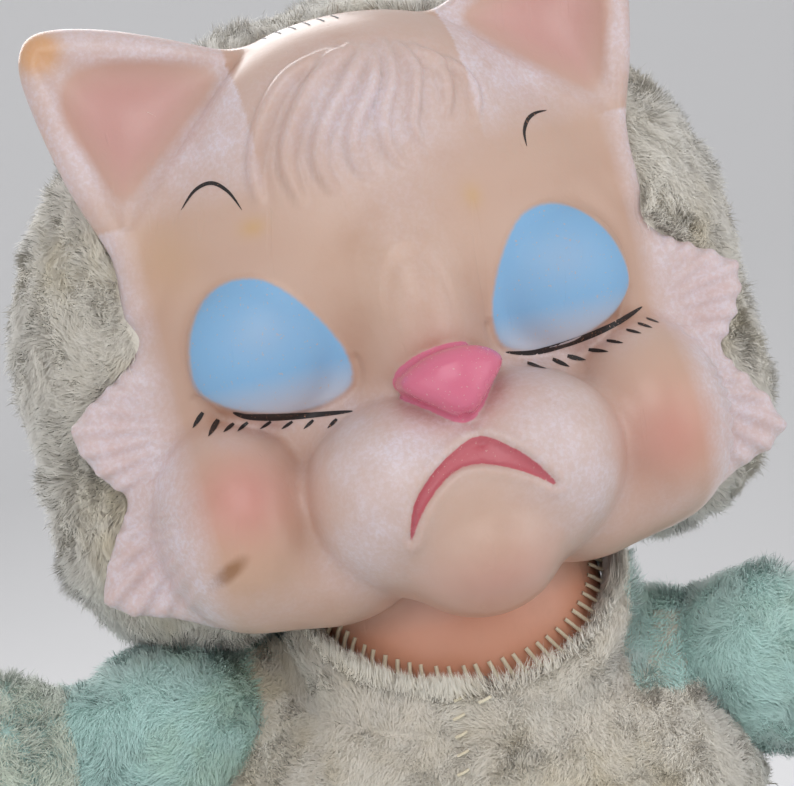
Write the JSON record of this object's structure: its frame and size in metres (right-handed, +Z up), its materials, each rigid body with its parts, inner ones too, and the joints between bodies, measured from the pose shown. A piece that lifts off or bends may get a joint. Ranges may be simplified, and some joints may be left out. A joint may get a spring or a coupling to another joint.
{
  "type": "plush cat",
  "caption": "Seated plush cat with a moulded vinyl face sewn into a plush head and a ball-like cloth neck; arms, legs and tail move.",
  "frame": {"origin": "middle of the flat seat, on the surface the cat sits on", "axes": "+Z up, -Y the way the cat faces, +X the cat's own left"},
  "size_m": [0.3275, 0.3171, 0.3385],
  "materials": {
    "vinyl": "satin painted vinyl, worn",
    "cream_plush": "aged cream pile",
    "mint_plush": "aged mint pile",
    "cotton": "loose stuffing",
    "thread": "thick cotton thread"
  },
  "bodies": {
    "torso": {"seat_panel": "mint_plush", "chest_panel_left": "cream_plush", "chest_panel_right": "cream_plush", "back_panel_left": "mint_plush", "back_panel_right": "mint_plush", "body_stuffing": "cotton", "neck_thread": "thread"},
    "neck": {"neck_stuffing": "cotton"},
    "head": {"face_mask": "vinyl", "hood_left": "cream_plush", "hood_right": "cream_plush", "head_stuffing": "cotton"},
    "arm_left": {"arm_left_outer": "mint_plush", "arm_left_inner": "mint_plush", "arm_left_stuffing": "cotton"},
    "arm_right": {"arm_right_outer": "mint_plush", "arm_right_inner": "mint_plush", "arm_right_stuffing": "cotton"},
    "leg_left": {"leg_left_outer": "mint_plush", "leg_left_inner": "mint_plush", "leg_left_sole": "cream_plush", "leg_left_stuffing": "cotton"},
    "leg_right": {"leg_right_outer": "mint_plush", "leg_right_inner": "mint_plush", "leg_right_sole": "cream_plush", "leg_right_stuffing": "cotton"},
    "tail": {"tail_outer": "mint_plush", "tail_inner": "mint_plush", "tail_stuffing": "cotton"}
  },
  "joints": [
    {"name": "neck_turn", "type": "hinge", "parent": "torso", "child": "neck", "pos_m": [0, 0, 0.168], "axis": [0, 0, 1], "range_deg": [-30, 30]},
    {"name": "neck_tilt", "type": "hinge", "parent": "neck", "child": "head", "pos_m": [0, 0, 0.168], "axis": [0, 1, 0], "range_deg": [-2, 12]},
    {"name": "arm_left_lift", "type": "hinge", "parent": "torso", "child": "arm_left", "pos_m": [0.077, 0.001, 0.146], "axis": [0, 1, 0], "range_deg": [-26, 8]},
    {"name": "arm_right_lift", "type": "hinge", "parent": "torso", "child": "arm_right", "pos_m": [-0.077, 0.001, 0.146], "axis": [0, -1, 0], "range_deg": [-4, 28]},
    {"name": "leg_left_lift", "type": "hinge", "parent": "torso", "child": "leg_left", "pos_m": [0.05, -0.037, 0.0315], "axis": [1, 0, 0], "range_deg": [-15, 0]},
    {"name": "leg_right_lift", "type": "hinge", "parent": "torso", "child": "leg_right", "pos_m": [-0.05, -0.037, 0.0315], "axis": [1, 0, 0], "range_deg": [-15, 0]},
    {"name": "tail_swing", "type": "hinge", "parent": "torso", "child": "tail", "pos_m": [0, 0.066, 0.0165], "axis": [0, 0, 1], "range_deg": [-35, 25]}
  ]
}
